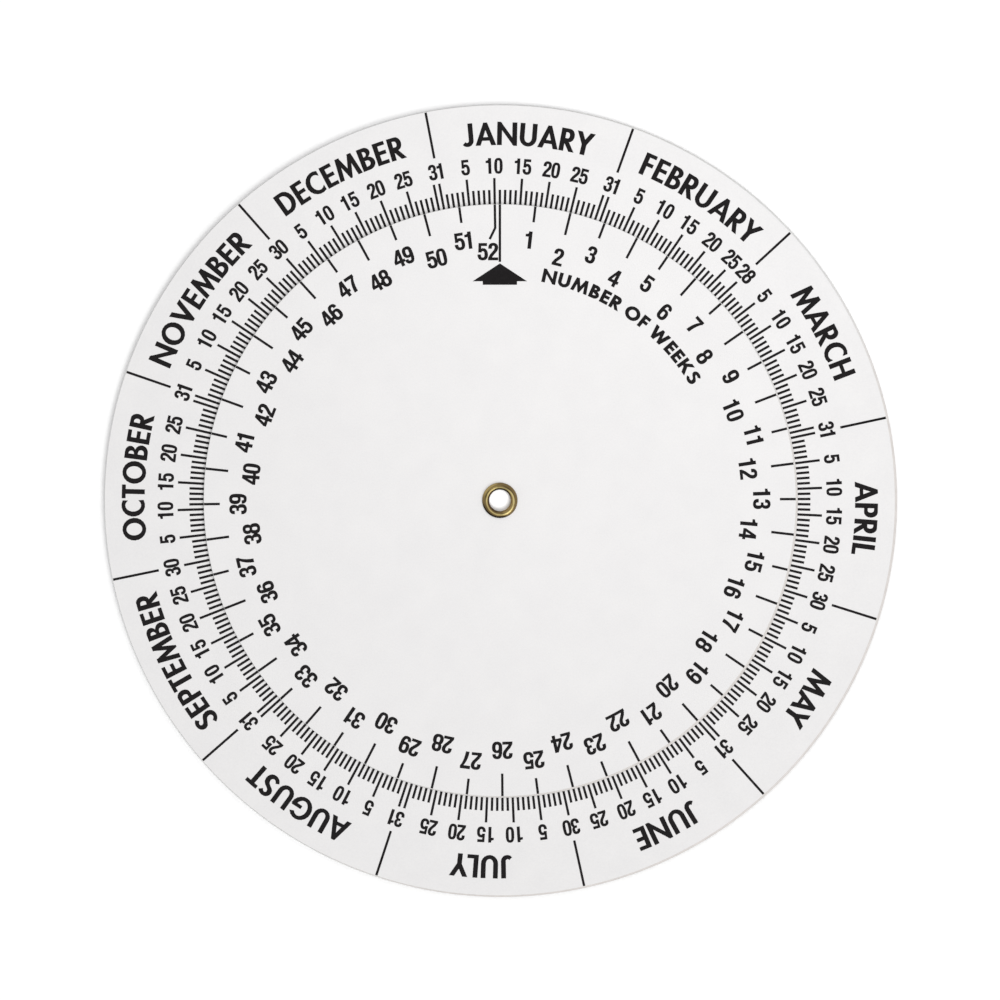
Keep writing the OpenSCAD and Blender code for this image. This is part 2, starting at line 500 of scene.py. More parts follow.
def letter_s(b):
    upper_edge = bends(
        (57.5, 91),
        ((51, 99), (42, 102.3), (33, 102.3)),
        ((14, 102.3), (2.7, 90), (2.7, 73)),
        ((2.7, 48), (42, 54), (42, 30)),
        ((42, 20), (36, b - 1), (28, b - 1)),
        ((22, b - 1), (17, 18), (13, 25)),
    )
    lower_edge = bends(
        (45.5, 79),
        ((41, 84), (38, 102 - b), (33, 102 - b)),
        ((26, 102 - b), (22.5, 84), (22.5, 77)),
        ((22.5, 58), (62, 64), (62, 32)),
        ((62, 12), (50, -2), (31, -2)),
        ((17, -2), (6, 6), (0, 18)),
    )
    return strip(upper_edge, lower_edge), 62


def letter_t(b):
    return bar(0, 100 - b, 59, 100) + stem(20, 0, 95), 59


def letter_u(b):
    bowl = bow((37, 36, 37, 37.5), (37, 36, 18, 37 - b), -180, 0)
    return stem(0, 36) + stem(55, 36) + bowl, 74


def letter_v(b):
    half = [[(0, 100.5), (20.5, 100.5), (43.5, 38), (43.5, -0.5), (38, -0.5)]]
    return half + mirrored(half, 87), 87


def letter_w(b):
    half = slab(26, 0, 0, 100, 21) + [[(26, 0), (45, 0), (62, 66), (62, 100), (55, 100)]]
    return half + mirrored(half, 124), 124


def letter_y(b):
    half = [[(0, 100), (20.5, 100), (39.5, 65), (39.5, 0), (30, 0), (30, 45)]]
    return half + mirrored(half, 79), 79


# Each capital's shape, and the bare space that it keeps on its left and its right
LETTERS = {
    "A": (letter_a, 2, 0), "B": (letter_b, 6, 3), "C": (letter_c, 3, 6), "D": (letter_d, 6, 4),
    "E": (letter_e, 6, 6), "F": (letter_f, 6, 7), "G": (letter_g, 4, 3), "H": (letter_h, 6, 6),
    "I": (letter_i, 6, 7), "J": (letter_j, 0, 8), "K": (letter_k, 6, 0), "L": (letter_l, 7, -4),
    "M": (letter_m, 2, 2), "N": (letter_n, 6, 6), "O": (letter_o, 3, 3), "P": (letter_p, 6, 3),
    "R": (letter_r, 6, 2), "S": (letter_s, 5, 3), "T": (letter_t, 2, 2), "U": (letter_u, 6, 6),
    "V": (letter_v, 3, 1), "W": (letter_w, 1, 1), "Y": (letter_y, -2, 0),
}
# Pairs that stand closer than their sides say
CLOSER = {"AY": 13, "MA": 2}


def spread_stroke(stroke, spread):
    """A stroke, turned to run counter-clockwise, with its sides moved outwards."""
    corners = [Vector(point) for point in stroke]
    if normal([corner.to_3d() for corner in corners]).z < 0:
        corners.reverse()
    outwards = []
    for i, corner in enumerate(corners):
        along = (corners[(i + 1) % len(corners)] - corner).normalized()
        outwards.append(Vector((along.y, -along.x)))
    return [
        corner + spread * (outwards[i - 1] + outwards[i])
        / max(1 + outwards[i - 1].dot(outwards[i]), MITRE_FLOOR)
        for i, corner in enumerate(corners)
    ]


def glyph_solid(strokes, spread):
    """A closed mesh, one unit thick, of overlapping strokes joined into one outline."""
    points = []
    loops = []
    for stroke in strokes:
        loops.append(range(len(points), len(points) + len(stroke)))
        points += spread_stroke(stroke, spread)
    corners, _, cells, _, _, strokes_under = delaunay_2d_cdt(
        points, [], loops, CELLS_INSIDE, STROKE_WELD
    )
    bm = bmesh.new()
    verts = [bm.verts.new((x, y, 0)) for x, y in corners]
    for cell, under in zip(cells, strokes_under):
        if under:
            bm.faces.new([verts[i] for i in cell])
    bmesh.ops.delete(bm, geom=[v for v in bm.verts if not v.link_faces], context="VERTS")
    bmesh.ops.dissolve_limit(bm, angle_limit=FLAT_WITHIN, verts=bm.verts, edges=bm.edges)
    top = bmesh.ops.extrude_face_region(bm, geom=bm.faces[:])["geom"]
    raised = [item for item in top if isinstance(item, bmesh.types.BMVert)]
    bmesh.ops.translate(bm, vec=(0, 0, 1), verts=raised)
    bmesh.ops.recalc_face_normals(bm, faces=bm.faces)
    mesh = bpy.data.meshes.new("glyph")
    bm.to_mesh(mesh)
    bm.free()
    return mesh


# Each glyph's solid is made once, and kept here under its name and height
glyph_solids = {}


def set_glyph(sheet, name, strokes, height, place):
    """Adds a glyph to the sheet, a bmesh, at a place given as a matrix."""
    key = (name, height)
    if key not in glyph_solids:
        glyph_solids[key] = glyph_solid(strokes, INK_SPREAD / height * GLYPH_UNITS)
    copy = glyph_solids[key].copy()
    copy.transform(place)
    sheet.from_mesh(copy)
    bpy.data.meshes.remove(copy)


def ring_place(angle, base_r, film, width, height, stretch):
    """Puts a glyph's foot at base_r, its middle at the angle and its top outwards."""
    bottom, film_t = film
    turn = Matrix.Rotation(-math.radians(angle), 4, "Z")
    out = Matrix.Translation((0, base_r, bottom))
    size = Matrix.Diagonal((height / GLYPH_UNITS * stretch, height / GLYPH_UNITS, film_t, 1))
    centre = Matrix.Translation((-width / 2, 0, 0))
    return turn @ out @ size @ centre


def set_word(sheet, word, film, mid_angle, base_r, height, bar_t, stretch=1.0, side=None, space=0):
    """Sets capitals side by side round a ring, with the word's middle at mid_angle.

    A side is the bare space on both sides of each letter, instead of the letters' own.
    """
    length = 0
    spots = []
    for i, character in enumerate(word):
        if character == " ":
            length += space
            continue
        shape, left, right = LETTERS[character]
        if side is not None:
            left = right = side
        strokes, width = shape(bar_t)
        length += left
        spots.append((character, strokes, width, length + width / 2))
        length += width + right - CLOSER.get(word[i:i + 2], 0)
    for character, strokes, width, middle in spots:
        along = (middle - length / 2) * stretch * height / GLYPH_UNITS
        angle = mid_angle + math.degrees(along / base_r)
        place = ring_place(angle, base_r, film, width, height, stretch)
        set_glyph(sheet, character, strokes, height, place)


def number_spots(number):
    """Each figure of a number: its name, strokes, width, and middle measured from the number's."""
    figures = str(number)
    for i, figure in enumerate(figures):
        strokes, width = NUMBERS[int(figure)]()
        left = ONE_LEFT if figure == "1" else (NUMBER_BOX - width) / 2
        yield figure, strokes, width, (i - len(figures) / 2) * NUMBER_BOX + left + width / 2


def set_number(sheet, number, film, mid_angle, mid_r, height, stretch=1.0, lead=0.0):
    """Sets a number round a ring, its middle a small lead before mid_angle."""
    for figure, strokes, width, middle in number_spots(number):
        along = middle * stretch * height / GLYPH_UNITS - lead
        angle = mid_angle + math.degrees(along / mid_r)
        place = ring_place(angle, mid_r - height / 2, film, width, height, stretch)
        set_glyph(sheet, figure, strokes, height, place)


def set_level_number(sheet, number, film, middle_at, height):
    """Sets a number upright, its middle at (x, y)."""
    bottom, film_t = film
    size = Matrix.Diagonal((height / GLYPH_UNITS, height / GLYPH_UNITS, film_t, 1))
    for figure, strokes, width, middle in number_spots(number):
        left = middle_at[0] + (middle - width / 2) * height / GLYPH_UNITS
        corner = Matrix.Translation((left, middle_at[1] - height / 2, bottom))
        set_glyph(sheet, figure, strokes, height, corner @ size)


# Materials

def new_material(name):
    """A material with its nodes, its links and its Principled BSDF."""
    material = bpy.data.materials.new(name)
    material.use_nodes = True
    nodes = material.node_tree.nodes
    return material, nodes, material.node_tree.links, nodes["Principled BSDF"]


def new_group(name, inputs, outputs):
    """A node group with number sockets, as (group, input node, output node)."""
    group = bpy.data.node_groups.new(name, "ShaderNodeTree")
    for socket_name, value in inputs:
        socket = group.interface.new_socket(socket_name, in_out="INPUT", socket_type="NodeSocketFloat")
        socket.default_value = value
    for socket_name in outputs:
        group.interface.new_socket(socket_name, in_out="OUTPUT", socket_type="NodeSocketFloat")
    return group, group.nodes.new("NodeGroupInput"), group.nodes.new("NodeGroupOutput")


def feed(links, value, socket):
    """Gives a socket its value, which is a plain one or comes from another socket."""
    if isinstance(value, bpy.types.NodeSocket):
        links.new(value, socket)
    else:
        socket.default_value = value


def math_node(nodes, links, operation, *values):
    """A Math node of one to three values; returns its result."""
    node = nodes.new("ShaderNodeMath")
    node.operation = operation
    for value, socket in zip(values, node.inputs):
        feed(links, value, socket)
    return node.outputs[0]


def vector_node(nodes, links, operation, place, fixed):
    """A Vector Math of a place and a fixed vector; returns its result, a number."""
    node = nodes.new("ShaderNodeVectorMath")
    node.operation = operation
    node.inputs[1].default_value = fixed
    links.new(place, node.inputs[0])
    return node.outputs["Value"]


def distance_node(nodes, links, place, centre):
    """The distance of a place from a fixed point."""
    return vector_node(nodes, links, "DISTANCE", place, centre)


def range_node(nodes, links, value, low, high, to_low=0.0, to_high=1.0, course="SMOOTHSTEP"):
    """A Map Range; returns its result."""
    node = nodes.new("ShaderNodeMapRange")
    node.interpolation_type = course
    node.inputs["From Min"].default_value = low
    node.inputs["From Max"].default_value = high
    node.inputs["To Min"].default_value = to_low
    node.inputs["To Max"].default_value = to_high
    links.new(value, node.inputs["Value"])
    return node.outputs["Result"]


def side_mask(nodes, links, place, side):
    """A mask that grows the further a place lies towards a side, measured from the Z axis."""
    azimuth, start, full = side
    turn = math.radians(azimuth)
    towards = vector_node(
        nodes, links, "DOT_PRODUCT", place, (math.sin(turn), math.cos(turn), 0)
    )
    return range_node(nodes, links, towards, start, full)


def patch_mask(nodes, links, place, radius, ring, side):
    """A mask of the part of a ring that lies towards a side."""
    on_ring = range_node(nodes, links, radius, *ring)
    on_side = side_mask(nodes, links, place, side)
    return math_node(nodes, links, "MULTIPLY", on_ring, on_side)


def noise_node(nodes, links, place, scale, detail):
    """A Noise Texture; returns its value."""
    node = nodes.new("ShaderNodeTexNoise")
    node.inputs["Detail"].default_value = detail
    links.new(place, node.inputs["Vector"])
    feed(links, scale, node.inputs["Scale"])
    return node.outputs["Fac"]


def ramp_node(nodes, links, factor, stops):
    """A Color Ramp between (position, colour) stops; returns its colour."""
    node = nodes.new("ShaderNodeValToRGB")
    elements = node.color_ramp.elements
    first, *between, last = stops
    for element, (position, colour) in zip(elements, (first, last)):
        element.position = position
        element.color = (*colour, 1)
    for position, colour in between:
        elements.new(position).color = (*colour, 1)
    links.new(factor, node.inputs["Fac"])
    return node.outputs["Color"]


def mix_node(nodes, links, factor, colour_a, colour_b):
    """A Mix of two colours, each a socket or numbers; returns its result."""
    node = nodes.new("ShaderNodeMix")
    node.data_type = "RGBA"
    links.new(factor, node.inputs[MIX_FACTOR_IN])
    for colour, socket in ((colour_a, MIX_A_IN), (colour_b, MIX_B_IN)):
        value = (*colour, 1) if isinstance(colour, tuple) else colour
        feed(links, value, node.inputs[socket])
    return node.outputs[MIX_OUT]


def bump_node(nodes, links, height, distance, shader):
    """Feeds a height, worth that distance in metres, to the shader's normal."""
    node = nodes.new("ShaderNodeBump")
    node.inputs["Distance"].default_value = distance
    links.new(height, node.inputs["Height"])
    links.new(node.outputs["Normal"], shader.inputs["Normal"])


def build_fibres():
    """Pressed fibres of board: cloudy formation, fine grain and, across the sheet, its plies."""
    group, entry, leaving = new_group(
        "pressed fibres",
        [("Cloud size", 6 * MM), ("Grain size", 0.25 * MM), ("Plies", 1.0)],
        ["Clouds", "Grain"],
    )
    nodes, links = group.nodes, group.links
    coordinates = nodes.new("ShaderNodeTexCoord")
    stretch = nodes.new("ShaderNodeCombineXYZ")
    stretch.inputs["X"].default_value = 1
    stretch.inputs["Y"].default_value = 1
    links.new(entry.outputs["Plies"], stretch.inputs["Z"])
    mapping = nodes.new("ShaderNodeMapping")
    links.new(coordinates.outputs["Object"], mapping.inputs["Vector"])
    links.new(stretch.outputs["Vector"], mapping.inputs["Scale"])
    for size, output, detail in (("Cloud size", "Clouds", 3), ("Grain size", "Grain", 2)):
        scale = math_node(nodes, links, "DIVIDE", 1.0, entry.outputs[size])
        noise = noise_node(nodes, links, mapping.outputs["Vector"], scale, detail)
        links.new(noise, leaving.inputs[output])
    return group


fibres_group = build_fibres()


def add_fibres(nodes, cloud_size, grain_size, plies=1):
    """Pressed fibres of these sizes, squeezed into plies; returns their clouds and their grain."""
    node = nodes.new("ShaderNodeGroup")
    node.node_tree = fibres_group
    node.inputs["Cloud size"].default_value = cloud_size
    node.inputs["Grain size"].default_value = grain_size
    node.inputs["Plies"].default_value = plies
    return node.outputs["Clouds"], node.outputs["Grain"]


def blend(nodes, links, clouds, grain, cloud_share):
    """The clouds and the grain of fibres as one value."""
    clouds = math_node(nodes, links, "MULTIPLY", clouds, cloud_share)
    return math_node(nodes, links, "MULTIPLY_ADD", grain, 1 - cloud_share, clouds)


def build_board_face():
    """White coated board: nearly even, with a cloudy formation and a fine satin grain."""
    material, nodes, links, shader = new_material("white board face")
    clouds, grain = add_fibres(nodes, cloud_size=4 * MM, grain_size=0.22 * MM)
    shade = blend(nodes, links, clouds, grain, cloud_share=0.45)
    links.new(ramp_node(nodes, links, shade, FACE_RAMP), shader.inputs["Base Color"])
    roughness = range_node(nodes, links, shade, *NOISE_SPAN, to_low=0.5, to_high=0.42)
    links.new(roughness, shader.inputs["Roughness"])
    shader.inputs["Specular IOR Level"].default_value = 0.4
    bump_node(nodes, links, shade, 0.006 * MM, shader)
    return material


def build_cut_board():
    """The die-cut edge: fibres in plies, beige where the die cut wide and opened the core."""
    material, nodes, links, shader = new_material("cut board edge")
    clouds, grain = add_fibres(nodes, cloud_size=1.2 * MM, grain_size=0.1 * MM, plies=5)
    shade = blend(nodes, links, clouds, grain, cloud_share=0.5)
    coated = ramp_node(nodes, links, shade, COATED_CUT_RAMP)
    core = ramp_node(nodes, links, shade, CORE_CUT_RAMP)
    place = nodes.new("ShaderNodeTexCoord").outputs["Object"]
    opened = side_mask(nodes, links, place, WIDE_CUT_SIDE)
    links.new(mix_node(nodes, links, opened, coated, core), shader.inputs["Base Color"])
    shader.inputs["Roughness"].default_value = 0.85
    shader.inputs["Specular IOR Level"].default_value = 0.25
    bump_node(nodes, links, shade, 0.02 * MM, shader)
    return material


def build_ink():
    """Black printing ink, a film that follows the board's grain and thins slightly in places."""
    material, nodes, links, shader = new_material("black printing ink")
    clouds, grain = add_fibres(nodes, cloud_size=3 * MM, grain_size=0.18 * MM)
    links.new(ramp_node(nodes, links, grain, INK_RAMP), shader.inputs["Base Color"])
    roughness = range_node(nodes, links, clouds, *NOISE_SPAN, to_low=0.5, to_high=0.6)
    links.new(roughness, shader.inputs["Roughness"])
    shader.inputs["Specular IOR Level"].default_value = 0.12
    bump_node(nodes, links, grain, 0.004 * MM, shader)
    return material


def burnishing_lines(nodes, links, split, radius):
    """Lines that run round the roll: noise that is short across it and long along it."""
    turn = math_node(nodes, links, "ARCTAN2", split.outputs["Y"], split.outputs["X"])
    lines_at = nodes.new("ShaderNodeCombineXYZ")
    links.new(math_node(nodes, links, "MULTIPLY", radius, LINES_A_METRE), lines_at.inputs["X"])
    links.new(math_node(nodes, links, "SINE", turn), lines_at.inputs["Y"])
    links.new(math_node(nodes, links, "COSINE", turn), lines_at.inputs["Z"])
    return noise_node(nodes, links, lines_at.outputs["Vector"], scale=1, detail=3)


def dullness(nodes, links, place, stain):
    """0 on the rubbed ring with its painted highlight, and 1 off it; stains make the ring's edges uneven.
    """
    from_middle = distance_node(nodes, links, place, RUBBED_HIGHLIGHT_CENTRE)
    off_ring = math_node(nodes, links, "SUBTRACT", from_middle, RUBBED_HIGHLIGHT_R)
    off_ring = math_node(nodes, links, "ABSOLUTE", off_ring)
    uneven = math_node(nodes, links, "MULTIPLY_ADD", stain, RUBBED_HIGHLIGHT_UNEVEN, -RUBBED_HIGHLIGHT_UNEVEN / 2)
    off_ring = math_node(nodes, links, "ADD", off_ring, uneven)
    return range_node(nodes, links, off_ring, *RUBBED_HIGHLIGHT_EDGE)


def rubbed_colour(nodes, links, place):
    """The colour of the rubbed ring with its painted highlight: bright brass, with painted shade on one
    side and lighter painted shade on another.
    """
    ring_shade = side_mask(nodes, links, place, RING_SHADE_SIDE)
    colour = mix_node(nodes, links, ring_shade, RUBBED_AND_HIGHLIGHT, RING_PAINTED_SHADE)
    ring_half_shade = side_mask(nodes, links, place, RING_HALF_SHADE_SIDE)
    return mix_node(nodes, links, ring_half_shade, colour, RING_PAINTED_HALF_SHADE)


def dull_colour(nodes, links, place, radius, lines):
    """The colour off the ring: brown, with a painted olive reflection on one side, dark streaks, a painted
    reflection on the outer lip and painted light on the inner slope.
    """
    olive_side_reflection = side_mask(nodes, links, place, OLIVE_REFLECTION_SIDE)
    colour = mix_node(nodes, links, olive_side_reflection, BROWN, OLIVE_REFLECTION)
    streaks = range_node(nodes, links, lines, *STREAK_SPAN)
    colour = mix_node(nodes, links, streaks, colour, STREAK)
    # Painted reflection makes the outer lip lighter, and painted light the inner slope on the side away
    # from the olive
    lip_olive_reflection = side_mask(nodes, links, place, LIP_OLIVE_REFLECTION_SIDE)
    lip_reflection_colour = mix_node(nodes, links, lip_olive_reflection, LIP_REFLECTION_BROWN, OLIVE_REFLECTION)
    colour = mix_node(nodes, links, range_node(nodes, links, radius, *OUTER_LIP), colour, lip_reflection_colour)
    slope_light = patch_mask(nodes, links, place, radius, INNER_SLOPE, INNER_SLOPE_LIT_SIDE)
    return mix_node(nodes, links, slope_light, colour, INNER_SLOPE_PAINTED_LIGHT)


def darkened_colour(nodes, links, place, radius, colour):
    """A colour of the brass, with painted shade in the throat's shaded side and a painted dark reflection
    on one side of the outer lip.
    """
    # Painted shade in the throat, warmer on one side
    warmer_shade = side_mask(nodes, links, place, WARMER_SHADE_SIDE)
    throat_shade_colour = mix_node(nodes, links, warmer_shade, THROAT_PAINTED_SHADE, THROAT_WARMER_SHADE)
    painted_throat_shade = patch_mask(nodes, links, place, radius, THROAT, SHADED_SIDE)
    colour = mix_node(nodes, links, painted_throat_shade, colour, throat_shade_colour)
    # Painted dark reflection on one side of the outer lip
    dark_reflection = patch_mask(nodes, links, place, radius, DARK_REFLECTION_LIP, DARK_REFLECTION_SIDE)
    return mix_node(nodes, links, dark_reflection, colour, PAINTED_DARK_REFLECTION)


def build_brass():
    """Aged brass: rubbed bright in a ring round the roll, partly a painted highlight, brown beside it, and
    with painted shade, light and reflections on some sides.
    """
    material, nodes, links, shader = new_material("aged brass")
    coordinates = nodes.new("ShaderNodeTexCoord").outputs["Object"]
    split = nodes.new("ShaderNodeSeparateXYZ")
    links.new(coordinates, split.inputs["Vector"])
    level = nodes.new("ShaderNodeCombineXYZ")
    for axis in "XY":
        links.new(split.outputs[axis], level.inputs[axis])
    place = level.outputs["Vector"]
    radius = distance_node(nodes, links, place, ORIGIN)
    lines = burnishing_lines(nodes, links, split, radius)
    stain = noise_node(nodes, links, coordinates, STAINS_A_METRE, detail=4)

    dull = dullness(nodes, links, place, stain)
    ring = rubbed_colour(nodes, links, place)
    off_ring = dull_colour(nodes, links, place, radius, lines)
    colour = mix_node(nodes, links, dull, ring, off_ring)
    colour = darkened_colour(nodes, links, place, radius, colour)

    # Fine lines and small stains run over all of it
    line_shade = range_node(nodes, links, lines, *NOISE_SPAN, *LINE_SHADES, course="LINEAR")
    stain_shade = range_node(nodes, links, stain, *STAIN_SPAN, *STAIN_SHADES)
    wear = nodes.new("ShaderNodeVectorMath")
    wear.operation = "SCALE"
    links.new(colour, wear.inputs[0])
    links.new(math_node(nodes, links, "MULTIPLY", line_shade, stain_shade), wear.inputs["Scale"])
    links.new(wear.outputs["Vector"], shader.inputs["Base Color"])
    shader.inputs["Metallic"].default_value = 1
    roughness = range_node(nodes, links, dull, 0.0, 1.0, to_low=0.36, to_high=0.46)
    links.new(roughness, shader.inputs["Roughness"])
    bump_node(nodes, links, lines, 0.01 * MM, shader)
    return material


board_face = build_board_face()
cut_board = build_cut_board()
ink = build_ink()
brass = build_brass()


# Pieces

def new_piece(name, bm, materials, body):
    """Makes an object of a bmesh with these materials, which rides on a body."""
    mesh = bpy.data.meshes.new(name)
    bm.to_mesh(mesh)
    bm.free()
    for material in materials:
        mesh.materials.append(material)
    piece = bpy.data.objects.new(name, mesh)
    bpy.context.scene.collection.objects.link(piece)
    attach(piece, body)
    return piece


def spun(outline, steps):
    """A bmesh of a closed outline of (radius, height) points, spun round the Z axis."""
    bm = bmesh.new()
    verts = [bm.verts.new((r, 0, z)) for r, z in outline]
    edges = [bm.edges.new((verts[i - 1], verts[i])) for i in range(len(verts))]
    bmesh.ops.spin(
        bm, geom=verts + edges, cent=ORIGIN, axis=(0, 0, 1),
        angle=2 * math.pi, steps=steps, use_merge=True,
    )
    bmesh.ops.remove_doubles(bm, verts=bm.verts, dist=WELD_WITHIN)
    bmesh.ops.recalc_face_normals(bm, faces=bm.faces)
    return bm


def ring_edges(bm, radius, height):
    """The edges of a spun bmesh that run round at this radius and height."""
    def on_ring(vert):
        off = max(abs(vert.co.xy.length - radius), abs(vert.co.z - height))
        return off < ON_RING_WITHIN
    return [edge for edge in bm.edges if all(on_ring(vert) for vert in edge.verts)]


def base_cut(azimuth):
    """How far the base disc's cut edge lies outside its true radius, at an azimuth in radians."""
    return BASE_CUT_SHIFT * math.cos(azimuth - math.radians(BASE_CUT_TOWARDS)) - BASE_CUT_SHRINK


def dial_cut(azimuth):
    """How far the dial disc's cut edge lies outside its true radius, at an azimuth in radians."""
    towards = max(0, math.cos(azimuth - math.radians(DIAL_CUT_TOWARDS)))
    return DIAL_CUT_WIDENS * towards - DIAL_CUT_SHRINK


def board_disc(name, node, body, bore_r, cut_at, dent=False):
    """A disc of board: bevelled unevenly where the die cut it, and dented where the roll sits."""
    low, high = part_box(node)
    radius = high.x
    seat = [(bore_r, low.z)]
    if dent:
        seat = [(DENT_R, low.z), (DENT_R, low.z + DENT_DEPTH), (bore_r, low.z + DENT_DEPTH)]
    outline = [
        (bore_r, high.z),
        (radius - BEVEL_W, high.z),
        (radius, high.z - BEVEL_H),
        (radius, low.z + BACK_BEVEL),
        (radius - BACK_BEVEL, low.z),
    ] + seat
    bm = spun(outline, DISC_STEPS)
    cut = ring_edges(bm, radius - BEVEL_W, high.z) + ring_edges(bm, radius, high.z - BEVEL_H)
    # The outer wall moves with the cut, while the printed face inside the bevel keeps its radius
    for vert in bm.verts:
        if vert.co.xy.length > radius - BEVEL_W / 2:
            azimuth = math.atan2(vert.co.x, vert.co.y)
            vert.co.xy = vert.co.xy * (1 + cut_at(azimuth) / radius)
    bmesh.ops.bevel(
        bm, geom=cut, offset=CUT_ROUNDING, segments=3, profile=0.5, affect="EDGES", material=-1,
    )
    for face in bm.faces:
        is_cut = abs(face.normal.z) < UPRIGHT_NORMAL
        face.smooth = is_cut
        face.material_index = int(is_cut)
    piece = new_piece(name, bm, [board_face, cut_board], body)
    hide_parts(node)


def half_roll(centre, radius, start, end):
    """Points (radius, height) of a roll's section, from one angle to another."""
    points = []
    for i in range(ROLL_STEPS + 1):
        angle = math.radians(start + (end - start) * i / ROLL_STEPS)
        points.append((centre[0] + radius * math.cos(angle), centre[1] + radius * math.sin(angle)))
    return points


def brass_eyelet():
    """The eyelet: a barrel with its domed flange on the front and its rolled end on the back."""
    low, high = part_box("eyelet")
    flange = (HOLE_R + FLANGE_ROLL_R, high.z - FLANGE_ROLL_R)
    clinch = (HOLE_R + CLINCH_ROLL_R, low.z + CLINCH_ROLL_R)
    outline = (
        half_roll(flange, FLANGE_ROLL_R, 180, 0)
        + half_roll(flange, FLANGE_ROLL_R - BRASS_T, 0, 180)
        + half_roll(clinch, CLINCH_ROLL_R - BRASS_T, 180, 360)
        + half_roll(clinch, CLINCH_ROLL_R, 360, 180)
    )
    bm = spun(outline, EYELET_STEPS)
    for face in bm.faces:
        face.smooth = True
    # The sheet ends square at both lips, so the edges there stay sharp
    for (mid_r, mid_z), roll_r in ((flange, FLANGE_ROLL_R), (clinch, CLINCH_ROLL_R)):
        for lip_r in (mid_r + roll_r, mid_r + roll_r - BRASS_T):
            for edge in ring_edges(bm, lip_r, mid_z):
                edge.smooth = False
    piece = new_piece("brass_eyelet", bm, [brass], "base")
    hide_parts("eyelet")


def film_on(node):
    """The height of the ink's foot and its thickness, from inked lines on the same face."""
    low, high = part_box(node)
    return low.z, high.z - low.z


def months():
    """Each month's name, the days of the year before it, and its own number of days."""
    before = 0
    for name, days in MONTHS:
        yield name, before, days
        before += days


def year_angle(year_day):
    """The angle of a day of the year, with the day at rest straight up."""
    return (year_day - REST_DAY) * DAY_STEP


def is_numbered(day, last_day):
    """Fifth days and a month's last day have numbers, but not a fifth day beside the last."""
    return day == last_day or day % FIFTH == 0 and day != last_day - 1


def print_months():
    """The months' names, each round the middle of its month."""
    sheet = bmesh.new()
    film = film_on("day_lines")
    for name, before, days in months():
        middle = year_angle(before + days / 2)
        set_word(sheet, name, film, middle, MONTH_BASE_R, MONTH_H, MONTH_BAR)
    new_piece("month_names", sheet, [ink], "base")


def print_days():
    """The numbers of the fifth days and of each month's last day."""
    sheet = bmesh.new()
    film = film_on("day_lines")
    for _, before, days in months():
        for day in range(1, days + 1):
            if is_numbered(day, days):
                lead = CROWDED_SHIFT if 0 < days - day < CROWDED_DAYS else 0.0
                angle = year_angle(before + day)
                set_number(sheet, day, film, angle, DAY_MID_R, DAY_H, DAY_STRETCH, lead)
    new_piece("day_numbers", sheet, [ink], "base")


def print_weeks():
    """The weeks' numbers in two staggered rings, and the last week's beside its bent line."""
    sheet = bmesh.new()
    film = film_on("week_lines")
    for week in range(1, LAST_WEEK):
        angle = week * WEEK_DAYS * DAY_STEP
        mid_r = ODD_WEEK_MID_R if week % 2 else EVEN_WEEK_MID_R
        lead = WEEK_LEAD if week >= TWO_FIGURES_FROM else ONE_FIGURE_WEEK_LEAD
        lead -= LEAD_SHRINKS_BY * max(0, week - LEAD_SHRINKS_FROM)
        set_number(sheet, week, film, angle, mid_r, WEEK_H, lead=lead)
    set_level_number(sheet, LAST_WEEK, film, LAST_WEEK_MID, WEEK_H)
    new_piece("week_numbers", sheet, [ink], "dial")


def print_legend():
    """The words that say what the dial's scale counts."""
    sheet = bmesh.new()
    set_word(
        sheet, LEGEND, film_on("week_lines"), LEGEND_MID_ANGLE, LEGEND_BASE_R, LEGEND_H,
        LEGEND_BAR, LEGEND_STRETCH, LEGEND_SIDE, LEGEND_SPACE,
    )
    new_piece("scale_legend", sheet, [ink], "dial")


def ink_lines():
    """Gives the lines and the arrow of the CAD model their ink."""
    inked_nodes = [
        "month_lines", "fifth_day_lines", "day_lines",
        "week_lines", "last_week_line", "index_line", "index_arrow",
    ]
    for node_name in inked_nodes:
        for material_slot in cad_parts[node_name].material_slots:
            material_slot.material = ink


board_disc("base_board", "base_disc", "base", BASE_BORE_R, base_cut, dent=True)
board_disc("dial_board", "dial_disc", "dial", DIAL_BORE_R, dial_cut)
brass_eyelet()
print_months()
print_days()
print_weeks()
print_legend()
ink_lines()


# Studio

def seen_directly(nodes, links):
    """1 for camera, gloss and transmission rays, and 0 for the rays that only light things."""
    path = nodes.new("ShaderNodeLightPath")
    seen = math_node(nodes, links, "MAXIMUM", path.outputs["Is Camera Ray"], path.outputs["Is Glossy Ray"])
    return math_node(nodes, links, "MAXIMUM", seen, path.outputs["Is Transmission Ray"])


